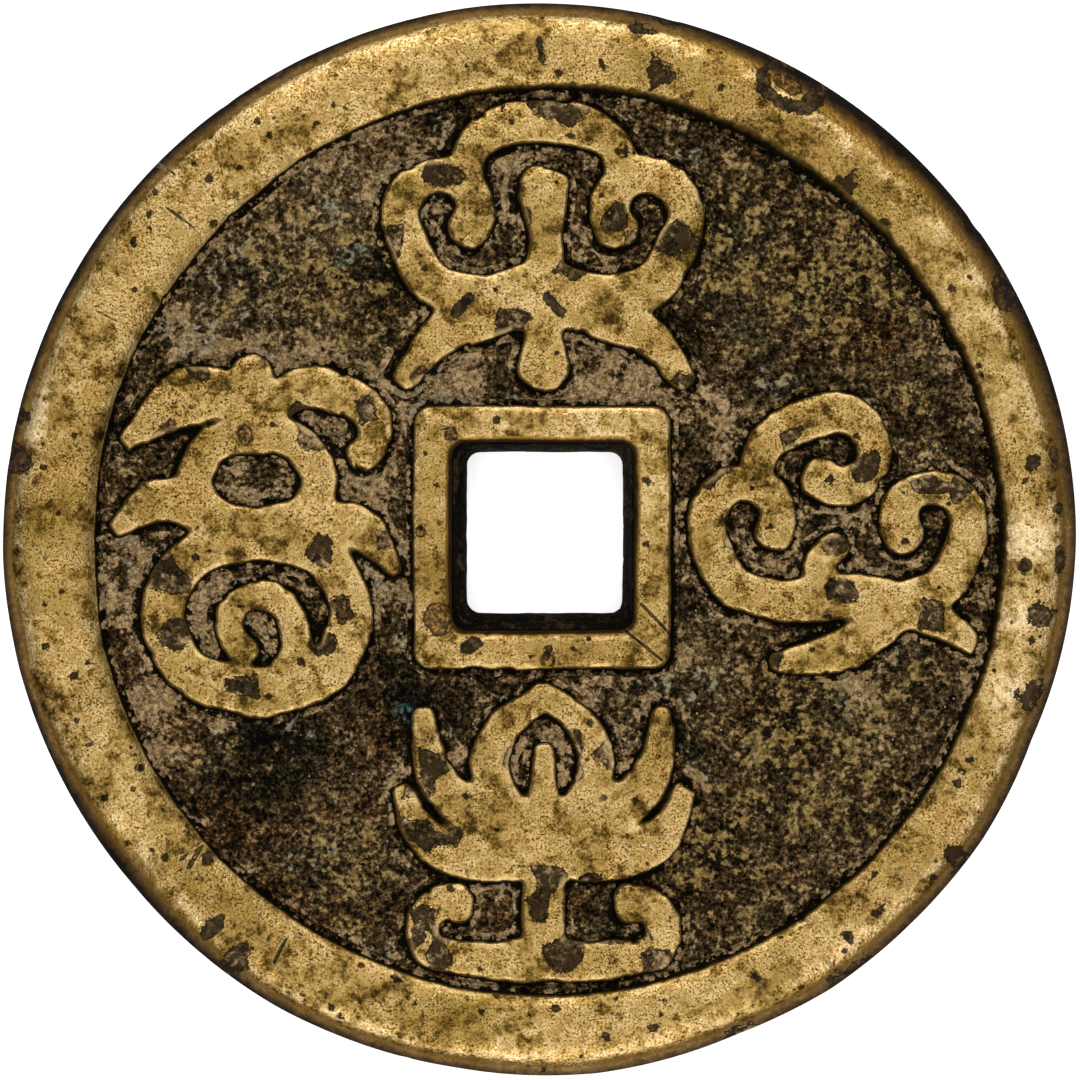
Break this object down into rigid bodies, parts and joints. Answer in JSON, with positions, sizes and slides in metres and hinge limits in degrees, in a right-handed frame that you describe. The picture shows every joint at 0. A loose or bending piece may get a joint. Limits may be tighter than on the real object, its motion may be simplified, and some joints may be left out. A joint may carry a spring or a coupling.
{
  "type": "cash coin",
  "caption": "Round cast brass coin with a square centre hole, raised outer and inner rims and relief ornaments on its obverse, to hold, string or lay flat.",
  "frame": {"origin": "centre of the coin's round outline, on the plane that the reverse rim lies on", "axes": "+Z out of the obverse, +Y towards the cloud ornament at the coin's top, +X towards the scroll ornament"},
  "size_m": [0.05, 0.05, 0.0036],
  "materials": {
    "rubbed_brass": "rubbed high parts of old cast brass, satin, with brown spots in the pits",
    "patinated_brass": "sunken field under a dark brown and taupe patina, mostly matt, with brass showing through in flecks"
  },
  "bodies": {
    "root": {"flan": "patinated_brass", "obverse_outer_rim": "rubbed_brass", "reverse_outer_rim": "rubbed_brass", "obverse_inner_rim": "rubbed_brass", "reverse_inner_rim": "rubbed_brass", "cloud_ornament": "rubbed_brass", "scroll_ornament": "rubbed_brass", "lotus_ornament": "rubbed_brass", "gourd_ornament": "rubbed_brass"}
  },
  "joints": []
}
